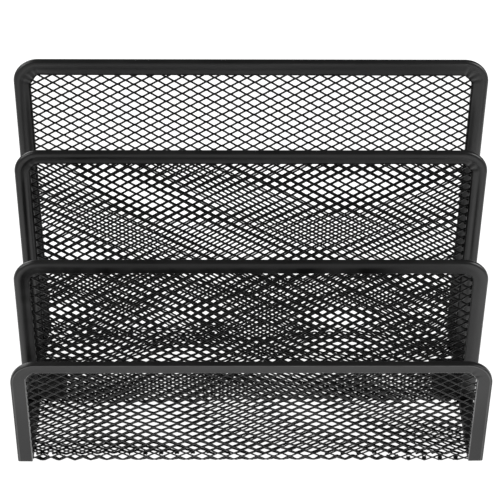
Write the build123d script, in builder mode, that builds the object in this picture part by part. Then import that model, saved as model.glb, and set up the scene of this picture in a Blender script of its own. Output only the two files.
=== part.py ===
"""Stepped desktop file sorter in powder-coated steel and expanded-metal mesh, in millimetres.

Four upright mesh panels stand one behind the other, each taller than the one in front, and
leave three slots for paper. +X is to the right, +Y runs from the front panel to the back one
and +Z is up. The origin is on the desk, in the middle of the footprint.
"""
from build123d import *
import math
import os

# Panels
panel_width = 177.0             # outside width of each panel
front_height = 49.0             # tops of the panels above the desk
front_divider_height = 72.5
rear_divider_height = 103.0
back_height = 131.0
front_slot_pitch = 30.5         # from mid-plane to mid-plane of neighbouring panels
middle_slot_pitch = 27.0
rear_slot_pitch = 18.5

# Rims: sheet steel folded over the edge of the mesh and pressed flat
rim_wall = 0.6                  # thickness of the folded sheet
rim_side_face = 5.8             # width of the rim along a panel's sides
rim_top_face = 4.8              # height of the rim along a panel's top
rim_flat = 0.4                  # flat left between the two rounds of the fold
corner_radius = 9.5             # outer radius of a panel's top corners
window_radius = 3.5             # radius of the rim's inner corners

# Expanded-metal mesh, drawn as a pierced sheet
mesh_thickness = 1.0
mesh_play = 0.1                 # clearance each side of the mesh inside a folded rim
mesh_end_gap = 0.3              # from the edge of the mesh to the bottom of the fold
diamond_long_pitch = 12.0       # openings, along X
diamond_short_pitch = 7.3       # openings, across X
strand_width = 1.1
mesh_border = 0.3               # width of sheet left between an opening and the rim

# Foot plates: folded sheet that ties the two dividers together over the base strips
foot_plate_height = 7.0         # where the legs of the dividers stand
foot_plate_thickness = 1.2
foot_plate_reach = 10.0         # how far a foot plate reaches inwards past the base strip
foot_plate_setback = 3.0        # from the rear divider's mesh to the plate's wide part
foot_bend_radius = 3.0          # outside radius of the bends under the legs

coincidence = 1e-6              # lengths closer than this count as equal

# Worked out from the values above
rim_gap = mesh_thickness + 2 * mesh_play
rim_thickness = rim_gap + 2 * rim_wall
rim_edge_radius = (rim_thickness - rim_flat) / 2
half_width = panel_width / 2
half_rim = rim_thickness / 2
half_mesh = mesh_thickness / 2
window_half_width = half_width - rim_side_face
mesh_inset = rim_wall + mesh_end_gap
mesh_half_width = half_width - mesh_inset
base_mesh_low = half_rim - half_mesh
base_mesh_top = half_rim + half_mesh

front_y = -(front_slot_pitch + middle_slot_pitch + rear_slot_pitch) / 2
front_divider_y = front_y + front_slot_pitch
rear_divider_y = front_divider_y + middle_slot_pitch
back_y = rear_divider_y + rear_slot_pitch


def arched_outline(half, low, high, radius):
    """Upright rectangle from height low to high whose two top corners are rounded."""
    with BuildSketch() as outline:
        with Locations((0, low)):
            Rectangle(2 * half, high - low, align=(Align.CENTER, Align.MIN))
        fillet(outline.vertices().group_by(Axis.Y)[-1], radius)
    return outline.sketch


def upright_plane(y):
    """Plane that faces the front of the sorter, at depth y."""
    return Plane.XZ.offset(-y)


def diamond_openings(half, low, high):
    """Staggered diamond openings that fill a window from -half to half and from low to high.

    The pitches are fitted to a whole number of openings, and those on the window's edges are
    halves.
    """
    columns = round(2 * half / diamond_long_pitch)
    rows = round((high - low) / diamond_short_pitch)
    half_long = half / columns
    half_short = (high - low) / rows / 2
    shrink = 1 - strand_width * math.hypot(half_long, half_short) / (2 * half_long * half_short)
    tips = [
        Vector(shrink * half_long, 0),
        Vector(0, shrink * half_short),
        Vector(-shrink * half_long, 0),
        Vector(0, -shrink * half_short),
    ]
    openings = []
    for column in range(2 * columns + 1):
        for row in range((column + 1) % 2, 2 * rows + 1, 2):
            centre = Vector(column * half_long - half, low + row * half_short)
            corners = [centre + tip for tip in tips]
            inside = [
                corner for corner in corners
                if abs(corner.X) < half + coincidence
                and low - coincidence < corner.Y < high + coincidence
            ]
            openings.append(Wire.make_polygon(inside))
    return openings


def pierced(outline, openings):
    """The outline with the openings cut out of it."""
    return Sketch() + Face(outline.face().outer_wire(), openings)


def make_rim(y, foot, height):
    """Rim folded over a panel's top and both sides, with its square-cut legs ending at foot."""
    with BuildPart() as rim:
        with BuildSketch(upright_plane(y + half_rim)):
            add(arched_outline(half_width, foot, height, corner_radius))
        extrude(amount=rim_thickness)
        fillet(rim.faces().filter_by(Axis.Y).edges().sort_by(Axis.Z)[2:], rim_edge_radius)
        with BuildSketch(upright_plane(y + half_rim)):
            add(arched_outline(window_half_width, foot, height - rim_top_face, window_radius))
        extrude(amount=rim_thickness, mode=Mode.SUBTRACT)
        with BuildSketch(upright_plane(y + rim_gap / 2)):
            add(arched_outline(half_width - rim_wall, foot, height - rim_wall,
                               corner_radius - rim_wall))
        extrude(amount=rim_gap, mode=Mode.SUBTRACT)
    return rim.part


def panel_mesh_outline(low, leg_foot, height):
    """Outline of a panel's mesh: it starts at low, but inside the legs' folds at leg_foot."""
    with BuildSketch() as outline:
        add(arched_outline(mesh_half_width, leg_foot, height - mesh_inset,
                           corner_radius - mesh_inset))
        if leg_foot > low:
            with Locations((0, low)):
                Rectangle(2 * (window_half_width - mesh_play), leg_foot - low + mesh_border,
                          align=(Align.CENTER, Align.MIN))
    return outline.sketch


def base_mesh_outline(length):
    """Outline of the base's mesh, with its four corners cut away round the panels' legs."""
    leg_half_length = (back_y - front_y) / 2 - half_rim - mesh_play
    with BuildSketch() as outline:
        Rectangle(2 * (window_half_width - mesh_play), length)
        Rectangle(2 * mesh_half_width, 2 * leg_half_length)
    return outline.sketch


def make_upright_mesh(y, low, leg_foot, height):
    """Mesh of one panel, standing at depth y."""
    openings = diamond_openings(window_half_width - mesh_border, low + mesh_border,
                                height - rim_top_face - mesh_border)
    sheet = pierced(panel_mesh_outline(low, leg_foot, height), openings)
    with BuildPart() as mesh:
        with BuildSketch(upright_plane(y + half_mesh)):
            add(sheet)
        extrude(amount=mesh_thickness)
    return mesh.part


def make_base_mesh():
    """Mesh that lies flat between the front and back panels."""
    length = back_y - front_y - mesh_thickness
    openings = diamond_openings(window_half_width - mesh_border,
                                mesh_border - length / 2, length / 2 - mesh_border)
    sheet = pierced(base_mesh_outline(length), openings)
    with BuildPart() as mesh:
        with BuildSketch(Plane.XY.offset(base_mesh_low)):
            add(sheet)
        extrude(amount=mesh_thickness)
    return mesh.part


def make_base_strip():
    """Right-hand folded strip along the side of the base, from the front rim to the back one."""
    with BuildPart() as strip:
        with BuildSketch(upright_plane(back_y - half_rim)) as section:
            with Locations((half_width, 0)):
                Rectangle(rim_side_face, rim_thickness, align=(Align.MAX, Align.MIN))
            fillet(section.vertices().group_by(Axis.X)[-1], rim_edge_radius)
            with Locations((half_width - rim_wall, half_rim)):
                Rectangle(rim_side_face, rim_gap, align=(Align.MAX, Align.CENTER),
                          mode=Mode.SUBTRACT)
        extrude(amount=back_y - front_y - rim_thickness)
    return strip.part


def make_foot_plate():
    """Right-hand foot plate: it lies on the base strip and turns up under both dividers' legs."""
    front = front_divider_y - half_rim
    back = rear_divider_y + half_rim
    middle = (front + back) / 2
    inner_radius = foot_bend_radius - foot_plate_thickness
    with BuildPart() as plate:
        with BuildSketch(Plane.YZ.offset(window_half_width)) as section:
            with Locations((middle, rim_thickness)):
                Rectangle(back - front, foot_plate_height - rim_thickness,
                          align=(Align.CENTER, Align.MIN))
            fillet(section.vertices().group_by(Axis.Y)[0], foot_bend_radius)
            with BuildSketch(mode=Mode.PRIVATE) as hollow:
                with Locations((middle, rim_thickness + foot_plate_thickness)):
                    Rectangle(back - front - 2 * rim_thickness, foot_plate_height,
                              align=(Align.CENTER, Align.MIN))
                fillet(hollow.vertices().group_by(Axis.Y)[0], inner_radius)
            add(hollow.sketch, mode=Mode.SUBTRACT)
        extrude(amount=rim_side_face)
        wide_front = front_divider_y + half_mesh + mesh_play
        wide_back = rear_divider_y - half_mesh - foot_plate_setback
        with BuildSketch(Plane.XY.offset(rim_thickness)):
            with Locations((window_half_width, wide_front)):
                Rectangle(foot_plate_reach, wide_back - wide_front,
                          align=(Align.MAX, Align.MIN))
        extrude(amount=foot_plate_thickness)
    return plate.part


front_rim = make_rim(front_y, 0, front_height)
front_divider_rim = make_rim(front_divider_y, foot_plate_height, front_divider_height)
rear_divider_rim = make_rim(rear_divider_y, foot_plate_height, rear_divider_height)
back_rim = make_rim(back_y, 0, back_height)

front_mesh = make_upright_mesh(front_y, base_mesh_low, base_mesh_low, front_height)
front_divider_mesh = make_upright_mesh(
    front_divider_y, base_mesh_top, foot_plate_height + mesh_end_gap, front_divider_height)
rear_divider_mesh = make_upright_mesh(
    rear_divider_y, base_mesh_top, foot_plate_height + mesh_end_gap, rear_divider_height)
back_mesh = make_upright_mesh(back_y, base_mesh_low, base_mesh_low, back_height)
base_mesh = make_base_mesh()

right_base_strip = make_base_strip()
left_base_strip = mirror(right_base_strip, about=Plane.YZ)
right_foot_plate = make_foot_plate()
left_foot_plate = mirror(right_foot_plate, about=Plane.YZ)

pieces = {
    "front_rim": front_rim,
    "front_divider_rim": front_divider_rim,
    "rear_divider_rim": rear_divider_rim,
    "back_rim": back_rim,
    "front_mesh": front_mesh,
    "front_divider_mesh": front_divider_mesh,
    "rear_divider_mesh": rear_divider_mesh,
    "back_mesh": back_mesh,
    "base_mesh": base_mesh,
    "left_base_strip": left_base_strip,
    "right_base_strip": right_base_strip,
    "left_foot_plate": left_foot_plate,
    "right_foot_plate": right_foot_plate,
}
os.makedirs("parts", exist_ok=True)
for name, piece in pieces.items():
    piece.label = name
    export_step(piece, f"parts/{name}.step")
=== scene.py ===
"""Stepped desktop file sorter in black powder-coated steel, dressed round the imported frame.

Everything is in metres: +X is to the right, +Y runs from the front panel to the back one and
+Z is up. Four upright panels of expanded metal stand one behind the other. Each has a rim of
sheet steel folded over its top and sides. The rims and the meshes are worked out here, and the
base strips and foot plates are the frame's own.
"""
import math

import bpy
import numpy as np
from mathutils import Matrix, Vector


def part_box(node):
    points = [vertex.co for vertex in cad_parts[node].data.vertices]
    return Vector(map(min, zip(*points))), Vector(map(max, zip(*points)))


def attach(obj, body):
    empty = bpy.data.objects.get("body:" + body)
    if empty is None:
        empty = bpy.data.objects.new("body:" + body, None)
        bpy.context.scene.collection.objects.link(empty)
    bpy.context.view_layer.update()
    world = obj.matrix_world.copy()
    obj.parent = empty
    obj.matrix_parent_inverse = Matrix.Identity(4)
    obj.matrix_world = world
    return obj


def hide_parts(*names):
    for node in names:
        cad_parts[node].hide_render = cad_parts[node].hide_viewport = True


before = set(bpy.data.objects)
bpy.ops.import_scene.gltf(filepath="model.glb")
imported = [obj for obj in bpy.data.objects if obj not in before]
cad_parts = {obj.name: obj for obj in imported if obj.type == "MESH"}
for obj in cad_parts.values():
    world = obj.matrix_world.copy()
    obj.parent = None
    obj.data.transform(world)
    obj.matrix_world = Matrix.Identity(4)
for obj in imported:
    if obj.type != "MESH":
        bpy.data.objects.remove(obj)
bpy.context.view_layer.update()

mm = 0.001

# Folded rims
corner_radius = 9.5 * mm           # outer radius of a panel's top corners
leg_crown = 0.16 * mm              # how far a leg's face falls back towards its outer edge
lip_round = 0.35 * mm              # radius of the hem's edge, beside the mesh
lip_gap = 0.3 * mm                 # from the mid-plane of the mesh to the hem
groove_depth = 0.9 * mm            # how deep the slit between the two hems shows
foot_round = 0.3 * mm              # softened edge where a leg is cut off square
pleat_spread = 0.1                 # of a pleat pressed into a corner, as a share of the corner
pleat_start = 0.1                  # share of the face that the pleats leave smooth
band_sway = 0.03                   # how far a band wanders across the face
band_wander = 0.25                 # how much a band's depth varies
press_wander = 0.15                # how much the fall towards the hem varies

# Stations of a rim
foot_steps = (0, 0.4, 1)           # through the softened foot
leg_start = 3 * foot_round         # height of the first station above it
leg_stations = 24
level_share = 0.1                  # of a leg, from its foot, where both edges are level
corner_stations = 61
top_stations = 48
edge_points = 7                    # through the rounded outer edge
face_points = 15
lip_points = 4

# Expanded metal
bond_length = 0.5 * mm             # where the strands of two rows run side by side
bond_overlap = 0.3                 # share of a strand's width that the strands of a bond share
knee_share = 0.2                   # of the slope between bonds, where a strand bends
knee_level = 0.62                  # how much of its swing it still has there
hexagon = np.array(((1, 0), (0.5, 1), (-0.5, 1), (-1, 0), (-0.5, -1), (0.5, -1)))
hidden_edge = 1.6 * mm             # how far the strands run on inside the rims
bow_span = 84 * mm                 # from the middle of a sheet to where its bow is told
row_margin = 12 * mm               # beyond a sheet's low and high edges, before it is trimmed
spare_waves = 3                    # beyond its side edges, before it is trimmed

# Folds at the foot of the front and back sheets
fold_radius = 0.3 * mm             # of the sheet's mid-surface
lean_height = 10 * mm              # below which a sheet leans out towards its fold
climb_start = 0.2                  # share of the flap past the fold that stays low
seam_overlap = 0.1 * mm            # how far the strands may run past the seam
front_fold = {"height": 0.49 * mm,      # of the mid-surface over the desk, under the fold
              "lean": 0.71 * mm,        # how far the sheet stands out at the fold
              "slack": 1.37 * mm,       # how much of the sheet the fold takes up
              "seam": -2.56 * mm,       # where the flap ends, on the sheet's own upward scale
              "seam_y": -36.6 * mm}     # where that is on the base
back_fold = {"height": 0.7 * mm, "lean": 0.5 * mm, "slack": 0,
             "seam": -1.58 * mm, "seam_y": 36.2 * mm}


def smooth_step(value, start, end):
    """0 before start, 1 after end, and 3t^2 - 2t^3 between them."""
    t = np.clip((value - start) / (end - start), 0, 1)
    return t * t * (3 - 2 * t)


def bell(value, centre, spread):
    """Gaussian hump of height 1: exp(-((value - centre) / spread)^2)."""
    return np.exp(-((value - centre) / spread) ** 2)


def mid_plane(panel):
    """Y of the middle of a panel's rim."""
    low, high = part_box(f"{panel}_rim")
    return (low.y + high.y) / 2


def add_piece(name, points, faces, material, slot, *replaced, chart=None):
    """Makes a smooth mesh object of an (n, 3) array and lists of corner numbers.

    It rides on the one body, takes the given material and stands for the replaced nodes. A chart is
    an (n, 2) array that gives each point its place in the piece's own UV layer. The slot is not
    used.
    """
    mesh = bpy.data.meshes.new(name)
    mesh.from_pydata(points.tolist(), [], faces)
    mesh.polygons.foreach_set("use_smooth", np.ones(len(mesh.polygons), bool))
    if chart is not None:
        corner_points = np.empty(len(mesh.loops), int)
        mesh.loops.foreach_get("vertex_index", corner_points)
        layer = mesh.uv_layers.new(name="along_and_across")
        layer.uv.foreach_set("vector", chart[corner_points].ravel())
    mesh.materials.append(material)
    mesh.update()
    piece = bpy.data.objects.new(name, mesh)
    bpy.context.collection.objects.link(piece)
    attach(piece, "root")
    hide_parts(*replaced)
    return piece


# Finishes

peel_weight = 1.2                  # of the wide relief against the fine grain
mottle_span = (0.3, 0.7)           # of the mottle's noise, over which a tone changes
gloss_spread = (-0.04, 0.05)       # of a coat's roughness about its mean
relief_height = 0.05 * mm          # of the grain in the normals
stripe_noise_scale = 24.0                  # of the noise along a rim that breaks up its painted highlight and shade stripes of that noise, over which a stripe's strength changes
stripe_noise_span = (0.25, 0.75)           # of the wear's noise, over which a stripe's strength changes
stripe_noise_strength = (0.6, 1.3)         # least and most of a stripe's depth
stripe_core = 0.35                 # flat share of a stripe's width
drift_span = (0.22, 0.36)          # of the way from foot to foot, where the band moves
fade_end = 0.7                     # where the band has faded
top_shade_span = (0.24, 0.14)          # from the middle of the rim, where the top's painted shade starts share of grey and gloss left in the deepest painted shade
least_kept_in_shade = 0.1                  # in the dullest crease


def add_node(tree, kind, inputs=None, **settings):
    """Node of a kind with its inputs and settings; an input is a value or another's socket."""
    node = tree.nodes.new(kind)
    for key, value in settings.items():
        setattr(node, key, value)
    for key, value in (inputs or {}).items():
        if isinstance(value, bpy.types.NodeSocket):
            tree.links.new(value, node.inputs[key])
        else:
            node.inputs[key].default_value = value
    return node


def add_math(tree, operation, *values):
    """Output of one step of arithmetic on values or sockets."""
    return add_node(tree, "ShaderNodeMath", dict(enumerate(values)), operation=operation).outputs[0]


def add_range(tree, value, start, end, low=0.0, high=1.0, interpolation="LINEAR"):
    """Output that goes from low to high as the value goes from start to end."""
    inputs = {"Value": value, "From Min": start, "From Max": end, "To Min": low, "To Max": high}
    node = add_node(tree, "ShaderNodeMapRange", inputs, interpolation_type=interpolation)
    return node.outputs["Result"]


def add_noise(tree, where, scale, detail, roughness):
    """Output of a noise in space."""
    inputs = {"Vector": where, "Scale": scale, "Detail": detail, "Roughness": roughness}
    return add_node(tree, "ShaderNodeTexNoise", inputs).outputs["Fac"]


def new_group(name, inputs, outputs):
    """Node group with named number sockets, some with a default; also its source and result."""
    group = bpy.data.node_groups.new(name, "ShaderNodeTree")
    for key, default in inputs:
        socket = group.interface.new_socket(key, in_out="INPUT", socket_type="NodeSocketFloat")
        socket.default_value = default
    for key in outputs:
        group.interface.new_socket(key, in_out="OUTPUT", socket_type="NodeSocketFloat")
    source = group.nodes.new("NodeGroupInput").outputs
    result = group.nodes.new("NodeGroupOutput").inputs
    return group, source, result


def make_powder_grain():
    """Node group for powder coating: a fine pebbled height, and a slow mottle in tone.

    The height is two noises, one at the size of the melted grains and one wider, like orange peel.
    """
    scales = (("Grain Scale", 3200.0), ("Peel Scale", 900.0), ("Mottle Scale", 60.0))
    group, source, result = new_group("powder_grain", scales, ("Height", "Mottle"))
    where = add_node(group, "ShaderNodeTexCoord").outputs["Object"]
    grain = add_noise(group, where, source["Grain Scale"], detail=2.0, roughness=0.6)
    peel = add_noise(group, where, source["Peel Scale"], detail=1.0, roughness=0.4)
    mottle = add_noise(group, where, source["Mottle Scale"], detail=3.0, roughness=0.55)
    height = add_math(group, "MULTIPLY_ADD", peel, peel_weight, grain)
    group.links.new(height, result["Height"])
    group.links.new(mottle, result["Mottle"])
    return group


def make_painted_rim_light():
    """Node group for a rim's own UVs: painted highlight stripes, and painted shade in creases.

    U runs along the rim from foot to foot and V across it, from 0 at the outer edge to 1 at the
    hem. Each stripe is a flat-topped bump of V about its place, and a slow noise of U breaks it
    up. The band of painted shade drifts from its place at the feet to another over the top, and
    fades towards the right, where more light falls. The painted highlight is to be added to the
    coat's grey, and the painted shade factor multiplies its grey and its gloss; it also paints
    the top of the rim darker than its legs.
    """
    settings = [(f"{stripe} {part}", 0.0) for stripe in ("Edge", "Brow", "Crease", "Band")
                for part in ("Depth", "Place", "Width")]
    settings += [(key, 0.0) for key in ("Band Drift", "Band Fade", "Fade Start", "Top Painted Shade")]
    group, source, result = new_group("painted_rim_light", settings, ("Light", "Painted Shade Factor"))
    chart = add_node(group, "ShaderNodeTexCoord").outputs["UV"]
    place = add_node(group, "ShaderNodeSeparateXYZ", {0: chart}).outputs
    along, across = place["X"], place["Y"]
    stripe_noise = add_node(group, "ShaderNodeTexNoise", {"W": along, "Scale": stripe_noise_scale, "Detail": 2.0},
                    noise_dimensions="1D")
    stripe_depth_factor = add_range(group, stripe_noise.outputs["Fac"], *stripe_noise_span, *stripe_noise_strength)

    def combine(operation, *values):
        return add_math(group, operation, *values)

    def stripe(name, drift=0.0):
        away = combine("SUBTRACT", across, combine("ADD", source[f"{name} Place"], drift))
        width = source[f"{name} Width"]
        bump = add_range(group, combine("ABSOLUTE", away), width,
                         combine("MULTIPLY", width, stripe_core), interpolation="SMOOTHSTEP")
        return combine("MULTIPLY", combine("MULTIPLY", bump, source[f"{name} Depth"]), stripe_depth_factor)

    faded = add_range(group, along, source["Fade Start"], fade_end, 1.0, source["Band Fade"])
    drifted = add_range(group, along, *drift_span, 0.0, source["Band Drift"])
    from_middle = combine("ABSOLUTE", combine("SUBTRACT", along, 0.5))
    top_shaded = add_range(group, from_middle, *top_shade_span, 1.0, source["Top Painted Shade"])
    # Painted light: the edge and brow stripes are painted highlights, the crease and band stripes
    # painted shade, and the top of the rim is painted darker than its legs.
    light = combine("ADD", stripe("Edge"), stripe("Brow"))
    painted_shade = combine("ADD", stripe("Crease"), combine("MULTIPLY", stripe("Band", drifted), faded))
    kept = combine("MAXIMUM", combine("SUBTRACT", 1.0, painted_shade), least_kept_in_shade)
    group.links.new(light, result["Light"])
    group.links.new(combine("MULTIPLY", kept, top_shaded), result["Painted Shade Factor"])
    return group


def make_coat(name, dark, light, roughness, relief, specular, stripes=None):
    """Black powder coat: grain in the normal, mottle between two greys, and a gloss that varies.

    The stripes, for a rim, give each input of the rim's painted-light node group by its name: they
    add painted highlights to the grey and darken the grey and gloss with painted shade.
    """
    coat = bpy.data.materials.new(name)
    coat.use_nodes = True
    tree = coat.node_tree
    shader = tree.nodes["Principled BSDF"]
    detail = add_node(tree, "ShaderNodeGroup", node_tree=powder_grain).outputs
    grey = add_range(tree, detail["Mottle"], *mottle_span, dark, light)
    shader.inputs["Specular IOR Level"].default_value = specular
    # Painted light: the stripes' highlights lighten the grey, and their painted shade darkens the
    # grey and the specular.
    if stripes:
        tones = add_node(tree, "ShaderNodeGroup", stripes, node_tree=painted_rim_light).outputs
        lit = add_math(tree, "ADD", grey, tones["Light"])
        grey = add_math(tree, "MULTIPLY", lit, tones["Painted Shade Factor"])
        shaded_specular = add_math(tree, "MULTIPLY", tones["Painted Shade Factor"], specular)
        tree.links.new(shaded_specular, shader.inputs["Specular IOR Level"])
    colour = add_node(tree, "ShaderNodeCombineColor", {"Red": grey, "Green": grey, "Blue": grey})
    tree.links.new(colour.outputs["Color"], shader.inputs["Base Color"])
    gloss = add_range(tree, detail["Mottle"], *mottle_span,
                      roughness + gloss_spread[0], roughness + gloss_spread[1])
    tree.links.new(gloss, shader.inputs["Roughness"])
    bump = add_node(tree, "ShaderNodeBump",
                    {"Height": detail["Height"], "Strength": relief, "Distance": relief_height})
    tree.links.new(bump.outputs["Normal"], shader.inputs["Normal"])
    return coat


no_stripe = (0, 1, 0.1)            # a stripe of depth 0, which doesn't show


def rim_stripes(edge=no_stripe, brow=no_stripe, crease=no_stripe, band=no_stripe,
                drift=0, fade_start=0.3, fade=0.5, top_painted_shade=1):
    """Painted stripes of a rim's coat, each a depth, a place across it and a width; the edge and
    brow are painted highlights, and the crease and band painted shade.

    Then come the band's drift, where along the rim it starts to fade, what is left of it at the
    right, and how much grey and gloss the top keeps against the legs', as painted shade.
    """
    values = {"Band Drift": drift, "Fade Start": fade_start, "Band Fade": fade,
              "Top Painted Shade": top_painted_shade}
    for name, stripe in (("Edge", edge), ("Brow", brow), ("Crease", crease), ("Band", band)):
        for part, value in zip(("Depth", "Place", "Width"), stripe):
            values[f"{name} {part}"] = value
    return values


powder_grain = make_powder_grain()
painted_rim_light = make_painted_rim_light()
# One black powder coat in four copies, with painted light: each rim's greys and gloss are set to
# how bright it looks under its light, and its stripes paint highlights and shade.
rim_coats = {
    "front": make_coat(
        "front_rim_coat_with_painted_light", dark=0.013, light=0.019, roughness=0.34, relief=0.2,
        specular=0.42, stripes=rim_stripes(edge=(0.2, 1, 0.08), brow=(0.06, 0.13, 0.07))),
    "front_divider": make_coat(
        "front_divider_rim_coat_with_painted_light", dark=0.014, light=0.021, roughness=0.33, relief=0.2,
        specular=0.54, stripes=rim_stripes(brow=(0.004, 0.22, 0.08), band=(0.64, 0.66, 0.45),
                                           drift=0.14, fade_start=0.66, fade=0.1, top_painted_shade=0.8)),
    "rear_divider": make_coat(
        "rear_divider_rim_coat_with_painted_light", dark=0.012, light=0.019, roughness=0.33, relief=0.2,
        specular=0.48, stripes=rim_stripes(brow=(0.01, 0.24, 0.08), crease=(0.7, 0.98, 0.14),
                                           band=(0.4, 0.5, 0.18), drift=0.02, fade=0.2,
                                           top_painted_shade=0.92)),
    "back": make_coat(
        "back_rim_coat_with_painted_light", dark=0.018, light=0.025, roughness=0.33, relief=0.2,
        specular=0.6, stripes=rim_stripes(brow=(0.008, 0.26, 0.08), crease=(0.7, 0.98, 0.12),
                                          band=(0.25, 0.45, 0.16), fade=0.1, top_painted_shade=0.72)),
}
# Painted highlight: the front sheet's coat is a lighter, glossier copy of the coat of the other
# sheets, for strands that catch the bright floor in front.
front_mesh_lit_coat = make_coat("front_mesh_coat_painted_lighter", dark=0.008, light=0.013, roughness=0.34,
                            relief=0.2, specular=0.4)
mesh_coat = make_coat("mesh_powder_coat", dark=0.004, light=0.007, roughness=0.4,
                      relief=0.2, specular=0.2)
plate_coat = make_coat("plate_powder_coat", dark=0.007, light=0.012, roughness=0.42,
                       relief=0.4, specular=0.3)


# Rims

def contour_side(half_width, foot, top, side_face, top_face, corner):
    """Stations up the right leg and round its corner: outer edge, inner edge and place.

    The edges are (n, 2) arrays of X and Z. The place is 0 to 1 through the corner and -1 on the
    leg. The outer corner is a quarter circle. The inner one is a quarter ellipse, blended with
    its chord where the hem was pressed into a chamfer.
    """
    outer_rise = top - corner_radius - foot
    inner_rise = top - top_face - corner["drop"] - foot
    soft = foot_round * np.array(foot_steps)
    climb = np.concatenate((soft, np.linspace(leg_start, outer_rise, leg_stations))) / outer_rise
    inner_climb = climb * np.where(climb < level_share, outer_rise, inner_rise)
    leg_out = np.stack((np.full(len(climb), half_width), foot + climb * outer_rise), 1)
    leg_in = np.stack((np.full(len(climb), half_width - side_face), foot + inner_climb), 1)
    place = np.linspace(0, 1, corner_stations)
    angle = place * math.pi / 2
    circle = np.stack((np.cos(angle), np.sin(angle)), 1)
    turn_out = (half_width - corner_radius, top - corner_radius) + corner_radius * circle
    start = np.array((half_width - side_face, top - top_face - corner["drop"]))
    end = start + (-corner["run"], corner["drop"])
    ellipse = (end[0], start[1]) + circle * (corner["run"], corner["drop"])
    chord = start + place[:, None] * (end - start)
    turn_in = ellipse + corner["chamfer"] * (chord - ellipse)
    return (np.concatenate((leg_out[:-1], turn_out)), np.concatenate((leg_in[:-1], turn_in)),
            np.concatenate((np.full(len(climb) - 1, -1.0), place)))


def rim_contour(half_width, foot, top, side_face, top_face, corners):
    """Stations along a rim, from the left foot up, over the top and down to the right foot.

    Returns the outer and inner edges as (n, 2) arrays of X and Z, and the place in each corner
    as an (n, 2) array that is 0 to 1 through the left or right corner and -1 elsewhere.
    """
    left, right = (contour_side(half_width, foot, top, side_face, top_face, corner)
                   for corner in corners)
    across = np.linspace(0, 1, top_stations + 2)[1:-1, None]
    edges = []
    for rising, falling in zip(left[:2], right[:2]):
        rising = rising * (-1, 1)
        falling = falling[::-1]
        over = rising[-1] + across * (falling[0] - rising[-1])
        edges.append(np.concatenate((rising, over, falling)))
    places = np.full((len(edges[0]), 2), -1.0)
    places[:len(left[2]), 0] = left[2]
    places[-len(right[2]):, 1] = right[2][::-1]
    return edges[0], edges[1], places


def hem_profile(width, half_depth, outer_round, bands, crown, press, pleat):
    """Section of one side of a folded rim, as arrays of reach and height over the stations.

    Reach goes from 0 at the outer edge to width at the hem. The height over the mesh's mid-plane
    rises through a quarter circle, runs along a face that falls back by a crown towards its outer
    edge, by press towards the hem and by the bell-shaped bands pressed along it, dips at the
    pleats, and ends in the hem's round.
    """
    quarter = np.linspace(0, math.pi / 2, edge_points)
    reach = [np.tile(outer_round * (1 - np.cos(quarter)), (len(width), 1))]
    height = [half_depth - crown[:, None] - outer_round + outer_round * np.sin(quarter)]
    face = np.linspace(0, 1, face_points + 1)[1:]
    face_width = width - outer_round - lip_round
    reach.append(outer_round + face * face_width[:, None])
    sink = press[:, None] * smooth_step(face, 0, 1) + crown[:, None] * (1 - face) ** 2
    for centre, spread, depth in bands:
        sink = sink + depth[:, None] * bell(face, centre[:, None], spread)
    height.append(half_depth - sink - pleat[:, None] * smooth_step(face, pleat_start, 1))
    last = height[-1][:, -1:]
    curl = np.linspace(0, math.pi / 2, lip_points + 1)[1:]
    reach.append(width[:, None] - lip_round + lip_round * np.sin(curl))
    height.append(last - lip_round * (1 - np.cos(curl)))
    reach.append(np.stack((width, width - groove_depth), 1))
    height.append(np.full((len(width), 2), lip_gap))
    return np.concatenate(reach, 1), np.concatenate(height, 1)


def wander_along(share, phase):
    """Two slow waves of the share of the way: sin 2pi(2.3s + p) + 0.6 sin 2pi(5.1s + 2.7p)."""
    slow = np.sin(2 * math.pi * (2.3 * share + phase))
    quick = np.sin(2 * math.pi * (5.1 * share + 2.7 * phase))
    return slow + 0.6 * quick


def pleat_depths(places, corners):
    """Depth of the pleats pressed into the two corners, at each station."""
    depth = np.zeros(len(places))
    for place, corner in zip(places.T, corners):
        for centre, size in corner["pleats"]:
            dent = size * mm * bell(place, centre, pleat_spread)
            depth = depth + np.where(place >= 0, dent, 0)
    return depth


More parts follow.
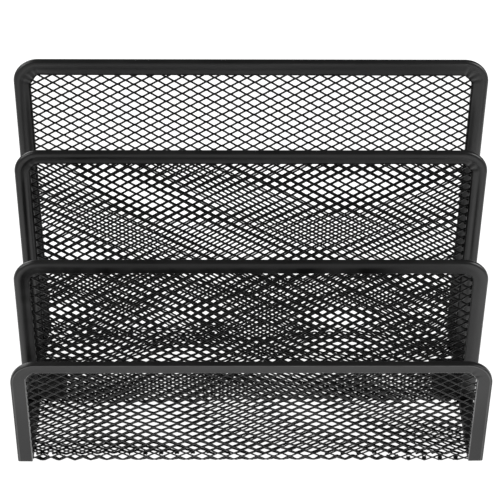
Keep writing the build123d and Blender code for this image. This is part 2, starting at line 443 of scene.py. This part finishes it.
def add_rim(panel, shape):
    """A rim: the closed section of its two hems carried along its contour."""
    low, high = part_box(f"{panel}_rim")
    half_width = (high.x - low.x) / 2
    half_depth = (high.y - low.y) / 2
    outside, inside, places = rim_contour(half_width, low.z, high.z, shape["side_face"] * mm,
                                          shape["top_face"] * mm, shape["corners"])
    step = inside - outside
    width = np.linalg.norm(step, axis=1)
    step = step / width[:, None]
    along = np.cumsum(np.linalg.norm(np.diff(outside, axis=0, prepend=outside[:1]), axis=1))
    share = along / along[-1]
    wander = wander_along(share, shape["phase"])
    bands = []
    for hollow in shape["bands"]:
        depth = hollow["depth"] * np.interp(share, band_stations, hollow["shares"])
        bands.append((hollow["centre"] + band_sway * wander, hollow["spread"],
                      depth * (1 + band_wander * wander)))
    press = shape["press"] * mm * (1 + press_wander * wander)
    slope = np.gradient(outside, axis=0).T
    crown = leg_crown * (slope[1] / np.hypot(*slope)) ** 2
    reach, height = hem_profile(width, half_depth, shape["outer_round"] * mm, bands, crown, press,
                                pleat_depths(places, shape["corners"]))
    foot_gap = np.minimum(np.abs(outside[:, 1] - low.z), foot_round)
    shrink = foot_round - np.sqrt(foot_round ** 2 - (foot_round - foot_gap) ** 2)
    height = height - shrink[:, None] * (height > lip_gap)
    reach = shrink[:, None] + reach * ((width - 2 * shrink) / width)[:, None]
    middle = mid_plane(panel)
    spots = outside[:, None, :] + reach[:, :, None] * step[:, None, :]
    front = np.stack((spots[:, :, 0], middle - height, spots[:, :, 1]), 2)
    back = np.stack((spots[:, :, 0], middle + height, spots[:, :, 1]), 2)
    rings = np.concatenate((front[:, ::-1], back), 1)
    stations, ring_points = rings.shape[:2]
    across = reach / width[:, None]
    chart = np.stack((np.tile(share[:, None], (1, ring_points)),
                      np.concatenate((across[:, ::-1], across), 1)), -1)
    number = np.arange(stations * ring_points).reshape(stations, ring_points)
    around = np.roll(number, -1, axis=1)
    quads = np.stack((number[:-1], number[1:], around[1:], around[:-1]), -1).reshape(-1, 4)
    faces = quads.tolist() + [number[0].tolist(), number[-1][::-1].tolist()]
    return add_piece(f"{panel}_folded_rim", rings.reshape(-1, 3), faces, rim_coats[panel],
                     "rim_coat", f"{panel}_rim", chart=chart.reshape(-1, 2))


def inner_corner(run, drop, chamfer, *pleats):
    """Inner corner: its run and drop, its share of chamfer, and pleats of a place and a size."""
    return {"run": run * mm, "drop": drop * mm, "chamfer": chamfer, "pleats": pleats}


def band(centre, spread, depth, *shares):
    """Hollow along a rim: middle and spread across the face, depth, and its shares on the way."""
    return {"centre": centre, "spread": spread, "depth": depth * mm, "shares": shares}


# Where a band's shares are told: left foot, left side, left end of the top, its middle, its
# right end, right side, right foot
band_stations = (0, 0.22, 0.36, 0.5, 0.64, 0.78, 1)

# Corners are left and right. Lengths are in mm, and the phase shifts the wander.
rim_shapes = {
    "front": {
        "side_face": 5.7, "top_face": 4.1, "outer_round": 0.5, "press": 0.06, "phase": 0.1,
        "corners": (inner_corner(3.2, 3.2, 0.6),
                    inner_corner(3.2, 3.6, 0.9, (0.45, 0.15), (0.8, 0.2))),
        "bands": (band(0.5, 0.3, 0.03, 1, 1, 1, 1, 1, 1, 1),)},
    "front_divider": {
        "side_face": 5.9, "top_face": 5.5, "outer_round": 1.0, "press": 0.05, "phase": 0.45,
        "corners": (inner_corner(4.0, 4.0, 0.0),
                    inner_corner(3.6, 3.6, 0.0)),
        "bands": (band(0.7, 0.22, 0.22, 1, 1, 1, 0.9, 0.7, 0.1, 0),)},
    "rear_divider": {
        "side_face": 6.0, "top_face": 5.4, "outer_round": 1.0, "press": 0.1, "phase": 0.7,
        "corners": (inner_corner(3.4, 3.4, 0.5, (0.45, 0.12), (0.75, 0.15)),
                    inner_corner(3.2, 3.6, 0.8, (0.25, 0.25), (0.6, 0.25))),
        "bands": (band(0.5, 0.16, 0.2, 1, 1, 0.9, 0.5, 0.1, 0.7, 0.4),
                  band(0.85, 0.1, 0.08, 0.6, 0.8, 0.6, 0.3, 0.2, 0.1, 0.1))},
    "back": {
        "side_face": 6.2, "top_face": 6.2, "outer_round": 1.0, "press": 0.12, "phase": 0.25,
        "corners": (inner_corner(3.0, 4.4, 0.8, (0.15, 0.3), (0.42, 0.35), (0.7, 0.4), (0.95, 0.3)),
                    inner_corner(3.4, 3.6, 0.7, (0.2, 0.35), (0.5, 0.4), (0.8, 0.4))),
        "bands": (band(0.38, 0.14, 0.12, 1, 1, 0.5, 0.3, 0.2, 0.1, 0.1),
                  band(0.85, 0.12, 0.1, 1, 1, 0.4, 0.3, 0.2, 0.3, 0.2),
                  band(0, 0.6, 0.3, 0, 0, 0, 0, 1, 0, 0))},
}
for panel, shape in rim_shapes.items():
    add_rim(panel, shape)


# Expanded-metal mesh

def upright(middle):
    """Places sheet coordinates on an upright panel: across is X, up is Z, and out is -Y."""
    def place(across, up, out):
        return np.stack((across, middle - out, up), -1)
    return place


def folded(middle, floor_z, fold, side):
    """Places the sheet that comes down an end panel and turns back towards the base.

    Above the fold, the height is up and a share of the slack, and the sheet leans out, both by a
    square law as it comes down. Through the fold it follows a quarter circle. Beyond it, the
    sheet is drawn out evenly as far as the seam, and rises to the base's height. The side is 1
    on the front panel, where the sheet turns towards +Y, and -1 on the back panel.
    """
    bend_top = fold["height"] + fold_radius - fold["slack"]
    bend_length = fold_radius * math.pi / 2
    flap = bend_top - bend_length - fold["seam"]
    foot_y = middle + side * (fold_radius - fold["lean"])
    stretch = side * (fold["seam_y"] - foot_y) / flap

    def place(across, up, out):
        angle = np.clip(bend_top - up, 0, bend_length) / fold_radius
        above = np.maximum(up - bend_top, 0)
        beyond = np.maximum(bend_top - bend_length - up, 0)
        near = np.clip(1 - above / lean_height, 0, 1) ** 2
        climb = (floor_z - fold["height"]) * smooth_step(beyond, climb_start * flap, flap)
        radius = fold_radius + side * out
        inward = fold_radius - fold["lean"] * near - radius * np.cos(angle) + beyond * stretch
        z = bend_top + fold["slack"] * near - radius * np.sin(angle) + above + climb
        return np.stack((across, middle + side * inward, z), -1)
    return place


def flat(height):
    """Places sheet coordinates on the base: across is X, up is Y, and out is +Z."""
    def place(across, up, out):
        return np.stack((across, up, height + out), -1)
    return place


def strand_rings(lattice, strand, flips, rows):
    """Rings round the strands of one lattice, as arrays of across, up and out of the sheet.

    A strand's level is 1 and -1 at the bonds with the rows on either side of it.
    """
    half_wave = lattice["long"] / 2
    width, depth, tilt = strand["width"], strand["depth"], strand["tilt"]
    swing = lattice["short"] / 4 - width / 2 * math.cos(tilt) * (1 - bond_overlap)
    knee = bond_length / 2 + knee_share * (half_wave - bond_length)
    spots = np.array((-bond_length / 2, bond_length / 2, knee, half_wave - knee))
    levels = np.array((1, 1, knee_level, -knee_level)) * np.where(flips % 2, -1, 1)[:, None]
    level = np.where(rows % 2, -1, 1)[:, None] * levels.ravel()
    rise = rows[:, None] * lattice["short"] / 2 + swing * level
    run = (spots + flips[:, None] * half_wave).ravel() + lattice["across"]
    run = np.broadcast_to(run, rise.shape)
    slope = np.gradient(rise, axis=1) / np.gradient(run, axis=1)
    length = np.hypot(1, slope)
    wide = hexagon[:, 0] * width / 2
    deep = hexagon[:, 1] * depth / 2
    in_sheet = wide * math.cos(tilt) - deep * math.sin(tilt)
    out_of_sheet = wide * math.sin(tilt) + deep * math.cos(tilt)
    ring_run = run[..., None] - (slope / length)[..., None] * in_sheet
    ring_rise = rise[..., None] + in_sheet / length[..., None]
    out = out_of_sheet - (width / 2 * math.sin(tilt) * level)[..., None]
    from_pivot = ring_rise + lattice["up"] - lattice["pivot"]
    cosine, sine = math.cos(lattice["turn"]), math.sin(lattice["turn"])
    across = cosine * ring_run - sine * from_pivot
    up = sine * ring_run + cosine * from_pivot + lattice["pivot"]
    return np.stack((across, up + lattice["bow"] * (across / bow_span) ** 2, out), -1)


def expanded_mesh(lattices, strand, low, high):
    """Rings of the zigzag strands of expanded metal, in sheet coordinates across, up and out.

    Each row is a trapezoid wave along the long pitch, with its flats where it runs beside the
    next row's. Odd rows are half a wave along. A strand's section is a flat hexagon, tilted about
    the strand so that the two halves of a bond lie in one plane. The lattice is turned a little
    about a pivot and bowed by a parabola, as in a sheet stretched unevenly. A sheet may pass from
    one lattice to the next between two heights, as a weighted mean of the two.
    """
    heights = [height for height, _ in lattices]
    last_lattice = lattices[-1][1]
    row_pitch = last_lattice["short"] / 2
    count = int(strand_half_span / (last_lattice["long"] / 2)) + spare_waves
    flips = np.arange(-count, count)
    first = math.floor((low - row_margin - last_lattice["up"]) / row_pitch)
    last = math.ceil((high + row_margin - last_lattice["up"]) / row_pitch)
    rows = np.arange(first, last + 1)
    rings = [strand_rings(lattice, strand, flips, rows) for _, lattice in lattices]
    where = rings[-1][..., 1]
    mixed = 0
    for index, placed in enumerate(rings):
        weight = np.interp(where, heights, np.eye(len(heights))[index])
        mixed = mixed + weight[..., None] * placed
    across, up = mixed[..., 0], mixed[..., 1]
    inside = (np.abs(across).max(-1) < strand_half_span) & (up.min(-1) > low) & (up.max(-1) < high)
    beside = np.pad(inside, ((0, 0), (1, 1)))
    return mixed, inside & (beside[:, :-2] | beside[:, 2:])


def add_mesh(sheet, coat, low, high, place):
    """Joins the kept rings of each row into closed strands and puts them on their sheet."""
    strand, lattices = sheets[sheet]
    rings, kept = expanded_mesh(lattices, strand, low, high)
    rows, stations, corners = rings.shape[:3]
    number = np.cumsum(kept.ravel()).reshape(rows, stations) - 1
    index = number[..., None] * corners + np.arange(corners)
    joined = kept[:, :-1] & kept[:, 1:]
    here, there = index[:, :-1][joined], index[:, 1:][joined]
    sides = np.stack((here, np.roll(here, -1, 1), np.roll(there, -1, 1), there), -1)
    before = np.pad(kept, ((0, 0), (1, 0)))[:, :-1]
    after = np.pad(kept, ((0, 0), (0, 1)))[:, 1:]
    starts = index[kept & ~before][:, ::-1]
    ends = index[kept & ~after]
    faces = sides.reshape(-1, 4).tolist() + starts.tolist() + ends.tolist()
    points = place(*np.moveaxis(rings[kept], -1, 0)).reshape(-1, 3)
    return add_piece(f"{sheet}_expanded_mesh", points, faces, coat, "mesh_coat", f"{sheet}_mesh")


def strand_size(width, depth, tilt):
    """Section of a sheet's strands: its width and depth in mm, and its tilt in degrees."""
    return {"width": width * mm, "depth": depth * mm, "tilt": math.radians(tilt)}


def lattice_at(height, long, short, across, up, turn, bow, pivot):
    """Lattice of a sheet at a height: pitches, shifts, bow and pivot in mm, a turn in degrees."""
    return height * mm, {"long": long * mm, "short": short * mm, "across": across * mm,
                         "up": up * mm, "turn": math.radians(turn), "bow": bow * mm,
                         "pivot": pivot * mm}


sheets = {
    "front": (strand_size(0.88, 0.48, 24), [
        lattice_at(0, long=6.046, short=3.483, across=-0.284, up=2.176,
                   turn=-0.197, bow=-0.903, pivot=24)]),
    "base": (strand_size(0.98, 0.52, 10), [
        lattice_at(0, long=6.033, short=3.958, across=1.579, up=0.218,
                   turn=1.549, bow=-0.248, pivot=-20)]),
    "front_divider": (strand_size(1.43, 0.6, 30), [
        lattice_at(46, long=6.199, short=3.914, across=-0.993, up=3.400,
                   turn=0.647, bow=0.409, pivot=37),
        lattice_at(52, long=6.138, short=4.041, across=-1.123, up=1.902,
                   turn=0.607, bow=1.279, pivot=37)]),
    "rear_divider": (strand_size(1.15, 0.58, 32), [
        lattice_at(24, long=5.959, short=4.214, across=-0.699, up=-3.433,
                   turn=0.796, bow=-0.997, pivot=52),
        lattice_at(30, long=6.053, short=3.910, across=-0.431, up=-1.219,
                   turn=0.328, bow=-2.956, pivot=52),
        lattice_at(46, long=6.053, short=3.910, across=-0.431, up=-1.219,
                   turn=0.328, bow=-2.956, pivot=52),
        lattice_at(54, long=6.075, short=3.744, across=-0.554, up=0.747,
                   turn=0.430, bow=-1.647, pivot=52)]),
    "back": (strand_size(0.84, 0.58, 32), [
        lattice_at(22, long=6.038, short=3.630, across=0.798, up=2.961,
                   turn=-0.139, bow=-0.226, pivot=65),
        lattice_at(34, long=6.059, short=3.572, across=0.916, up=2.484,
                   turn=-0.547, bow=0.231, pivot=65),
        lattice_at(76, long=6.059, short=3.572, across=0.916, up=2.484,
                   turn=-0.547, bow=0.231, pivot=65),
        lattice_at(88, long=6.025, short=3.603, across=0.600, up=1.525,
                   turn=-0.733, bow=0.757, pivot=65)]),
}
base_low, base_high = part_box("base_mesh")
strip_low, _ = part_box("right_base_strip")
base_z = (base_low.z + base_high.z) / 2
strand_half_span = strip_low.x + hidden_edge
strand_tops = {panel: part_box(f"{panel}_rim")[1].z - shape["top_face"] * mm + hidden_edge
               for panel, shape in rim_shapes.items()}

add_mesh("front", front_mesh_lit_coat, front_fold["seam"] - seam_overlap, strand_tops["front"],
         folded(mid_plane("front"), base_z, front_fold, 1))
add_mesh("base", mesh_coat, front_fold["seam_y"] - seam_overlap,
         back_fold["seam_y"] + seam_overlap, flat(base_z))
for panel in ("front_divider", "rear_divider"):
    mesh_low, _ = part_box(f"{panel}_mesh")
    add_mesh(panel, mesh_coat, mesh_low.z, strand_tops[panel], upright(mid_plane(panel)))
add_mesh("back", mesh_coat, back_fold["seam"] - seam_overlap, strand_tops["back"],
         folded(mid_plane("back"), base_z, back_fold, -1))

for node in ("left_base_strip", "right_base_strip", "left_foot_plate", "right_foot_plate"):
    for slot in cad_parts[node].material_slots:
        slot.material = plate_coat


# Floor, light and camera

floor_half_side = 3.0
floor_cells = 40
floor_flat_radius = 1.6            # the floor rises beyond it, by floor_rise times the square
floor_rise = 0.25
floor_depth = 0.2 * mm             # below the feet
paper_grey = 0.3                   # of the floor, under its own light
paper_roughness = 0.9
paper_specular = 0.1
sweep_centre = (0.028, 0.135, 0)   # middle of the white sweep's lit oval
sweep_size = (0.31, 0.256, 1)      # its two radii, and 1 for the height
sweep_edge = (1.12, 0.94)          # the oval's radii between which the light fades
sweep_level = 1.0                  # inside the lit oval
room_level = 0.12                  # beyond the lit oval
pool_edge = (-0.062, -0.08)        # Y, just in front of the sorter, where it becomes brighter
pool_level = 1.7                   # how much brighter it is there
world_level = 0.02                 # of the even light from all round
light_aim = (0, 0, 0.05)           # point that the softboxes face
softboxes = (("left_softbox", (-1.2, -0.2, 0.8), 1.0, 12),     # name, place, side and watts
             ("right_softbox", (1.2, -0.2, 0.8), 1.0, 16),
             ("back_left_softbox", (-0.75, 1.1, 0.4), 0.5, 3.5))
camera_sensor = 36                 # mm
camera_lens = 123.97               # mm
camera_place = (-0.00941, -0.46978, 0.46562)   # from the foot of the front panel's middle
camera_down = 37.807               # degrees below the horizon
camera_yaw = -1.005
camera_roll = 0.624


def make_paper():
    """White sweep lit from below: an oval of even white, brighter just in front of the sorter.

    The oval's radius is 1 on its rim, where the light fades to a dark room.
    """
    paper = bpy.data.materials.new("white_sweep")
    paper.use_nodes = True
    tree = paper.node_tree
    where = add_node(tree, "ShaderNodeTexCoord").outputs["Object"]
    oval = add_node(tree, "ShaderNodeMapping",
                    {"Vector": where, "Location": sweep_centre, "Scale": sweep_size},
                    vector_type="TEXTURE")
    radius = add_node(tree, "ShaderNodeVectorMath", {0: oval.outputs[0]}, operation="LENGTH")
    inside = add_range(tree, radius.outputs["Value"], *sweep_edge, room_level, sweep_level,
                       interpolation="SMOOTHSTEP")
    place = add_node(tree, "ShaderNodeSeparateXYZ", {0: where}).outputs
    ahead = add_range(tree, place["Y"], *pool_edge, 1.0, pool_level, interpolation="SMOOTHSTEP")
    shader = tree.nodes["Principled BSDF"]
    shader.inputs["Base Color"].default_value = (paper_grey, paper_grey, paper_grey, 1)
    shader.inputs["Roughness"].default_value = paper_roughness
    shader.inputs["Specular IOR Level"].default_value = paper_specular
    shader.inputs["Emission Color"].default_value = (1, 1, 1, 1)
    strength = add_math(tree, "MULTIPLY", inside, ahead)
    tree.links.new(strength, shader.inputs["Emission Strength"])
    return paper


def add_floor():
    """Wide pale floor, gently raised far away so that no horizon shows."""
    side = np.linspace(-floor_half_side, floor_half_side, floor_cells + 1)
    x, y = np.meshgrid(side, side)
    far = np.maximum(np.hypot(x, y) - floor_flat_radius, 0)
    points = np.stack((x, y, floor_rise * far ** 2 - floor_depth), -1).reshape(-1, 3)
    number = np.arange(len(side) ** 2).reshape(len(side), -1)
    quads = np.stack((number[:-1, :-1], number[:-1, 1:], number[1:, 1:], number[1:, :-1]), -1)
    mesh = bpy.data.meshes.new("studio_floor")
    mesh.from_pydata(points.tolist(), [], quads.reshape(-1, 4).tolist())
    mesh.materials.append(make_paper())
    floor = bpy.data.objects.new("studio_floor", mesh)
    bpy.context.collection.objects.link(floor)


def add_softbox(name, place, side, power):
    """Square area light at a place, turned to face the sorter."""
    light = bpy.data.lights.new(name, "AREA")
    light.shape = "SQUARE"
    light.size = side
    light.energy = power
    lamp = bpy.data.objects.new(name, light)
    lamp.location = place
    towards = Vector(light_aim) - Vector(place)
    lamp.rotation_euler = towards.to_track_quat("-Z", "Y").to_euler()
    bpy.context.collection.objects.link(lamp)


def add_world():
    """Dim even light from all round."""
    world = bpy.data.worlds.new("studio_air")
    world.use_nodes = True
    background = world.node_tree.nodes["Background"]
    background.inputs["Color"].default_value = (1, 1, 1, 1)
    background.inputs["Strength"].default_value = world_level
    bpy.context.scene.world = world


def add_camera():
    """Camera in front of the sorter and above it, looking down into the slots."""
    data = bpy.data.cameras.new("camera")
    data.sensor_width = camera_sensor
    data.lens = camera_lens
    camera = bpy.data.objects.new("camera", data)
    spot = Vector(camera_place) + Vector((0, mid_plane("front"), 0))
    camera.matrix_world = (Matrix.Translation(spot)
                           @ Matrix.Rotation(math.radians(camera_yaw), 4, "Z")
                           @ Matrix.Rotation(math.radians(90 - camera_down), 4, "X")
                           @ Matrix.Rotation(math.radians(camera_roll), 4, "Z"))
    bpy.context.collection.objects.link(camera)
    bpy.context.scene.camera = camera


add_floor()
add_world()
for softbox in softboxes:
    add_softbox(*softbox)
add_camera()
bpy.context.scene.view_settings.view_transform = "Standard"
